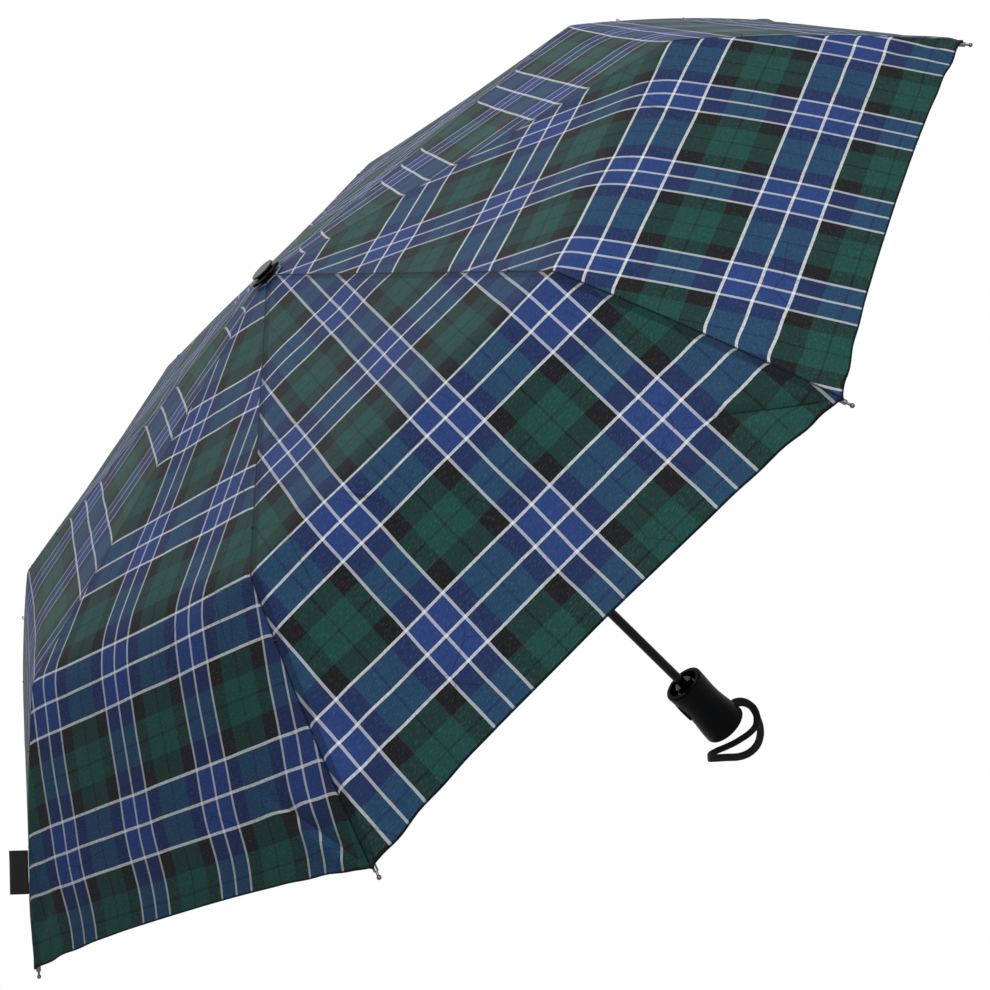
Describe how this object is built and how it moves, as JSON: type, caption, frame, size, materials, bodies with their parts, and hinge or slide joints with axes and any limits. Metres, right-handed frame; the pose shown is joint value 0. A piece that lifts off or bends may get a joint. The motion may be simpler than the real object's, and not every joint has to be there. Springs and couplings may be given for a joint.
{
  "type": "folding umbrella",
  "caption": "Compact three-fold umbrella, open, with a tartan canopy on jointed ribs, a telescoping shaft, a push-button grip and a wrist strap.",
  "frame": {"origin": "centre of the grip, on the shaft's axis", "axes": "+Z runs along the shaft from the grip to the crown; +X is opposite the push button"},
  "size_m": [0.9022, 0.9022, 0.578],
  "materials": {
    "black_rubber": "matt soft-touch coating",
    "black_gloss": "polished",
    "black_plastic": "fine moulded texture",
    "shaft_black": "satin black paint on steel tube",
    "rib_black": "black electro-coat on steel strip",
    "outer_rod": "black glass-fibre rod in a pressed socket",
    "wire": "drawn wire",
    "tip_silver": "polished",
    "cloth": "woven tartan, water-repellent",
    "strap_web": "flat woven tape",
    "tab_web": "plain black woven tape"
  },
  "bodies": {
    "handle": {"handle_grip": "black_rubber", "handle_collar": "black_gloss", "handle_end_cap": "black_plastic", "strap_anchor": "black_plastic", "wrist_strap": "strap_web", "lower_tube": "shaft_black"},
    "push_button": {"push_button": "black_rubber"},
    "middle_tube": {"middle_tube": "shaft_black"},
    "upper_tube": {"upper_tube": "shaft_black", "crown_hub": "black_plastic", "crown_ring": "wire", "crown_washer": "black_plastic", "crown_cap": "black_gloss", "canopy": "cloth", "seam_label": "tab_web"},
    "runner": {"runner": "black_plastic", "runner_ring": "wire"},
    "top_rib_1": {"top_rib_1": "rib_black"},
    "stretcher_1": {"stretcher_1": "rib_black"},
    "middle_rib_1": {"middle_rib_1": "rib_black"},
    "outer_rib_1": {"outer_rib_1": "outer_rod", "rib_tip_1": "tip_silver"},
    "top_rib_2": {"top_rib_2": "rib_black"},
    "stretcher_2": {"stretcher_2": "rib_black"},
    "middle_rib_2": {"middle_rib_2": "rib_black"},
    "outer_rib_2": {"outer_rib_2": "outer_rod", "rib_tip_2": "tip_silver"},
    "top_rib_3": {"top_rib_3": "rib_black"},
    "stretcher_3": {"stretcher_3": "rib_black"},
    "middle_rib_3": {"middle_rib_3": "rib_black"},
    "outer_rib_3": {"outer_rib_3": "outer_rod", "rib_tip_3": "tip_silver"},
    "top_rib_4": {"top_rib_4": "rib_black"},
    "stretcher_4": {"stretcher_4": "rib_black"},
    "middle_rib_4": {"middle_rib_4": "rib_black"},
    "outer_rib_4": {"outer_rib_4": "outer_rod", "rib_tip_4": "tip_silver"},
    "top_rib_5": {"top_rib_5": "rib_black"},
    "stretcher_5": {"stretcher_5": "rib_black"},
    "middle_rib_5": {"middle_rib_5": "rib_black"},
    "outer_rib_5": {"outer_rib_5": "outer_rod", "rib_tip_5": "tip_silver"},
    "top_rib_6": {"top_rib_6": "rib_black"},
    "stretcher_6": {"stretcher_6": "rib_black"},
    "middle_rib_6": {"middle_rib_6": "rib_black"},
    "outer_rib_6": {"outer_rib_6": "outer_rod", "rib_tip_6": "tip_silver"},
    "top_rib_7": {"top_rib_7": "rib_black"},
    "stretcher_7": {"stretcher_7": "rib_black"},
    "middle_rib_7": {"middle_rib_7": "rib_black"},
    "outer_rib_7": {"outer_rib_7": "outer_rod", "rib_tip_7": "tip_silver"},
    "top_rib_8": {"top_rib_8": "rib_black"},
    "stretcher_8": {"stretcher_8": "rib_black"},
    "middle_rib_8": {"middle_rib_8": "rib_black"},
    "outer_rib_8": {"outer_rib_8": "outer_rod", "rib_tip_8": "tip_silver"}
  },
  "joints": [
    {"name": "middle_tube_slide", "type": "slide", "parent": "handle", "child": "middle_tube", "axis": [0, 0, -1], "range_m": [0, 0.13]},
    {"name": "upper_tube_slide", "type": "slide", "parent": "middle_tube", "child": "upper_tube", "axis": [0, 0, -1], "range_m": [0, 0.13]},
    {"name": "button_press", "type": "slide", "parent": "handle", "child": "push_button", "axis": [1, 0, 0], "range_m": [0, 0.002], "stiffness_N_per_m": 800},
    {"name": "canopy_fold", "type": "hinge", "parent": "upper_tube", "child": "top_rib_1", "pos_m": [0.0097, -0.00402, 0.50305], "axis": [0.3827, 0.9239, 0], "range_deg": [0, 81], "deforming": ["canopy", "seam_label"]},
    {"name": "stretcher_1_fold", "type": "hinge", "parent": "top_rib_1", "child": "stretcher_1", "pos_m": [0.08705, -0.03606, 0.48827], "axis": [0.3827, 0.9239, 0], "range_deg": [-145.96, 0.5]},
    {"name": "middle_rib_1_fold", "type": "hinge", "parent": "top_rib_1", "child": "middle_rib_1", "pos_m": [0.16147, -0.06688, 0.47906], "axis": [0.3827, 0.9239, 0], "range_deg": [-180.5, 0.5]},
    {"name": "outer_rib_1_fold", "type": "hinge", "parent": "middle_rib_1", "child": "outer_rib_1", "pos_m": [0.31008, -0.12844, 0.44953], "axis": [0.3827, 0.9239, 0], "range_deg": [-0.5, 148.2]},
    {"name": "top_rib_2_fold", "type": "hinge", "parent": "upper_tube", "child": "top_rib_2", "pos_m": [0.00402, -0.0097, 0.50305], "axis": [0.9239, 0.3827, 0], "range_deg": [-0.5, 81.5]},
    {"name": "stretcher_2_fold", "type": "hinge", "parent": "top_rib_2", "child": "stretcher_2", "pos_m": [0.03606, -0.08705, 0.48827], "axis": [0.9239, 0.3827, 0], "range_deg": [-145.96, 0.5]},
    {"name": "middle_rib_2_fold", "type": "hinge", "parent": "top_rib_2", "child": "middle_rib_2", "pos_m": [0.06688, -0.16147, 0.47906], "axis": [0.9239, 0.3827, 0], "range_deg": [-180.5, 0.5]},
    {"name": "outer_rib_2_fold", "type": "hinge", "parent": "middle_rib_2", "child": "outer_rib_2", "pos_m": [0.12844, -0.31008, 0.44953], "axis": [0.9239, 0.3827, 0], "range_deg": [-0.5, 148.2]},
    {"name": "top_rib_3_fold", "type": "hinge", "parent": "upper_tube", "child": "top_rib_3", "pos_m": [-0.00402, -0.0097, 0.50305], "axis": [0.9239, -0.3827, 0], "range_deg": [-0.5, 81.5]},
    {"name": "stretcher_3_fold", "type": "hinge", "parent": "top_rib_3", "child": "stretcher_3", "pos_m": [-0.03606, -0.08705, 0.48827], "axis": [0.9239, -0.3827, 0], "range_deg": [-145.96, 0.5]},
    {"name": "middle_rib_3_fold", "type": "hinge", "parent": "top_rib_3", "child": "middle_rib_3", "pos_m": [-0.06688, -0.16147, 0.47906], "axis": [0.9239, -0.3827, 0], "range_deg": [-180.5, 0.5]},
    {"name": "outer_rib_3_fold", "type": "hinge", "parent": "middle_rib_3", "child": "outer_rib_3", "pos_m": [-0.12844, -0.31008, 0.44953], "axis": [0.9239, -0.3827, 0], "range_deg": [-0.5, 148.2]},
    {"name": "top_rib_4_fold", "type": "hinge", "parent": "upper_tube", "child": "top_rib_4", "pos_m": [-0.0097, -0.00402, 0.50305], "axis": [0.3827, -0.9239, 0], "range_deg": [-0.5, 81.5]},
    {"name": "stretcher_4_fold", "type": "hinge", "parent": "top_rib_4", "child": "stretcher_4", "pos_m": [-0.08705, -0.03606, 0.48827], "axis": [0.3827, -0.9239, 0], "range_deg": [-145.96, 0.5]},
    {"name": "middle_rib_4_fold", "type": "hinge", "parent": "top_rib_4", "child": "middle_rib_4", "pos_m": [-0.16147, -0.06688, 0.47906], "axis": [0.3827, -0.9239, 0], "range_deg": [-180.5, 0.5]},
    {"name": "outer_rib_4_fold", "type": "hinge", "parent": "middle_rib_4", "child": "outer_rib_4", "pos_m": [-0.31008, -0.12844, 0.44953], "axis": [0.3827, -0.9239, 0], "range_deg": [-0.5, 148.2]},
    {"name": "top_rib_5_fold", "type": "hinge", "parent": "upper_tube", "child": "top_rib_5", "pos_m": [-0.0097, 0.00402, 0.50305], "axis": [-0.3827, -0.9239, 0], "range_deg": [-0.5, 81.5]},
    {"name": "stretcher_5_fold", "type": "hinge", "parent": "top_rib_5", "child": "stretcher_5", "pos_m": [-0.08705, 0.03606, 0.48827], "axis": [-0.3827, -0.9239, 0], "range_deg": [-145.96, 0.5]},
    {"name": "middle_rib_5_fold", "type": "hinge", "parent": "top_rib_5", "child": "middle_rib_5", "pos_m": [-0.16147, 0.06688, 0.47906], "axis": [-0.3827, -0.9239, 0], "range_deg": [-180.5, 0.5]},
    {"name": "outer_rib_5_fold", "type": "hinge", "parent": "middle_rib_5", "child": "outer_rib_5", "pos_m": [-0.31008, 0.12844, 0.44953], "axis": [-0.3827, -0.9239, 0], "range_deg": [-0.5, 148.2]},
    {"name": "top_rib_6_fold", "type": "hinge", "parent": "upper_tube", "child": "top_rib_6", "pos_m": [-0.00402, 0.0097, 0.50305], "axis": [-0.9239, -0.3827, 0], "range_deg": [-0.5, 81.5]},
    {"name": "stretcher_6_fold", "type": "hinge", "parent": "top_rib_6", "child": "stretcher_6", "pos_m": [-0.03606, 0.08705, 0.48827], "axis": [-0.9239, -0.3827, 0], "range_deg": [-145.96, 0.5]},
    {"name": "middle_rib_6_fold", "type": "hinge", "parent": "top_rib_6", "child": "middle_rib_6", "pos_m": [-0.06688, 0.16147, 0.47906], "axis": [-0.9239, -0.3827, 0], "range_deg": [-180.5, 0.5]},
    {"name": "outer_rib_6_fold", "type": "hinge", "parent": "middle_rib_6", "child": "outer_rib_6", "pos_m": [-0.12844, 0.31008, 0.44953], "axis": [-0.9239, -0.3827, 0], "range_deg": [-0.5, 148.2]},
    {"name": "top_rib_7_fold", "type": "hinge", "parent": "upper_tube", "child": "top_rib_7", "pos_m": [0.00402, 0.0097, 0.50305], "axis": [-0.9239, 0.3827, 0], "range_deg": [-0.5, 81.5]},
    {"name": "stretcher_7_fold", "type": "hinge", "parent": "top_rib_7", "child": "stretcher_7", "pos_m": [0.03606, 0.08705, 0.48827], "axis": [-0.9239, 0.3827, 0], "range_deg": [-145.96, 0.5]},
    {"name": "middle_rib_7_fold", "type": "hinge", "parent": "top_rib_7", "child": "middle_rib_7", "pos_m": [0.06688, 0.16147, 0.47906], "axis": [-0.9239, 0.3827, 0], "range_deg": [-180.5, 0.5]},
    {"name": "outer_rib_7_fold", "type": "hinge", "parent": "middle_rib_7", "child": "outer_rib_7", "pos_m": [0.12844, 0.31008, 0.44953], "axis": [-0.9239, 0.3827, 0], "range_deg": [-0.5, 148.2]},
    {"name": "top_rib_8_fold", "type": "hinge", "parent": "upper_tube", "child": "top_rib_8", "pos_m": [0.0097, 0.00402, 0.50305], "axis": [-0.3827, 0.9239, 0], "range_deg": [-0.5, 81.5]},
    {"name": "stretcher_8_fold", "type": "hinge", "parent": "top_rib_8", "child": "stretcher_8", "pos_m": [0.08705, 0.03606, 0.48827], "axis": [-0.3827, 0.9239, 0], "range_deg": [-145.96, 0.5]},
    {"name": "middle_rib_8_fold", "type": "hinge", "parent": "top_rib_8", "child": "middle_rib_8", "pos_m": [0.16147, 0.06688, 0.47906], "axis": [-0.3827, 0.9239, 0], "range_deg": [-180.5, 0.5]},
    {"name": "outer_rib_8_fold", "type": "hinge", "parent": "middle_rib_8", "child": "outer_rib_8", "pos_m": [0.31008, 0.12844, 0.44953], "axis": [-0.3827, 0.9239, 0], "range_deg": [-0.5, 148.2]},
    {"name": "runner_slide", "type": "slide", "parent": "upper_tube", "child": "runner", "axis": [0, 0, -1], "range_m": [-0.0005, 0.12544]}
  ],
  "couplings": [
    {"joint": "stretcher_1_fold", "follows": "canopy_fold", "ratio": -1.7958},
    {"joint": "middle_rib_1_fold", "follows": "canopy_fold", "ratio": -2.2222},
    {"joint": "outer_rib_1_fold", "follows": "canopy_fold", "ratio": 1.8235},
    {"joint": "top_rib_2_fold", "follows": "canopy_fold", "ratio": 1},
    {"joint": "stretcher_2_fold", "follows": "canopy_fold", "ratio": -1.7958},
    {"joint": "middle_rib_2_fold", "follows": "canopy_fold", "ratio": -2.2222},
    {"joint": "outer_rib_2_fold", "follows": "canopy_fold", "ratio": 1.8235},
    {"joint": "top_rib_3_fold", "follows": "canopy_fold", "ratio": 1},
    {"joint": "stretcher_3_fold", "follows": "canopy_fold", "ratio": -1.7958},
    {"joint": "middle_rib_3_fold", "follows": "canopy_fold", "ratio": -2.2222},
    {"joint": "outer_rib_3_fold", "follows": "canopy_fold", "ratio": 1.8235},
    {"joint": "top_rib_4_fold", "follows": "canopy_fold", "ratio": 1},
    {"joint": "stretcher_4_fold", "follows": "canopy_fold", "ratio": -1.7958},
    {"joint": "middle_rib_4_fold", "follows": "canopy_fold", "ratio": -2.2222},
    {"joint": "outer_rib_4_fold", "follows": "canopy_fold", "ratio": 1.8235},
    {"joint": "top_rib_5_fold", "follows": "canopy_fold", "ratio": 1},
    {"joint": "stretcher_5_fold", "follows": "canopy_fold", "ratio": -1.7958},
    {"joint": "middle_rib_5_fold", "follows": "canopy_fold", "ratio": -2.2222},
    {"joint": "outer_rib_5_fold", "follows": "canopy_fold", "ratio": 1.8235},
    {"joint": "top_rib_6_fold", "follows": "canopy_fold", "ratio": 1},
    {"joint": "stretcher_6_fold", "follows": "canopy_fold", "ratio": -1.7958},
    {"joint": "middle_rib_6_fold", "follows": "canopy_fold", "ratio": -2.2222},
    {"joint": "outer_rib_6_fold", "follows": "canopy_fold", "ratio": 1.8235},
    {"joint": "top_rib_7_fold", "follows": "canopy_fold", "ratio": 1},
    {"joint": "stretcher_7_fold", "follows": "canopy_fold", "ratio": -1.7958},
    {"joint": "middle_rib_7_fold", "follows": "canopy_fold", "ratio": -2.2222},
    {"joint": "outer_rib_7_fold", "follows": "canopy_fold", "ratio": 1.8235},
    {"joint": "top_rib_8_fold", "follows": "canopy_fold", "ratio": 1},
    {"joint": "stretcher_8_fold", "follows": "canopy_fold", "ratio": -1.7958},
    {"joint": "middle_rib_8_fold", "follows": "canopy_fold", "ratio": -2.2222},
    {"joint": "outer_rib_8_fold", "follows": "canopy_fold", "ratio": 1.8235},
    {"joint": "runner_slide", "follows": "canopy_fold", "m_per_rad": 0.088379}
  ]
}
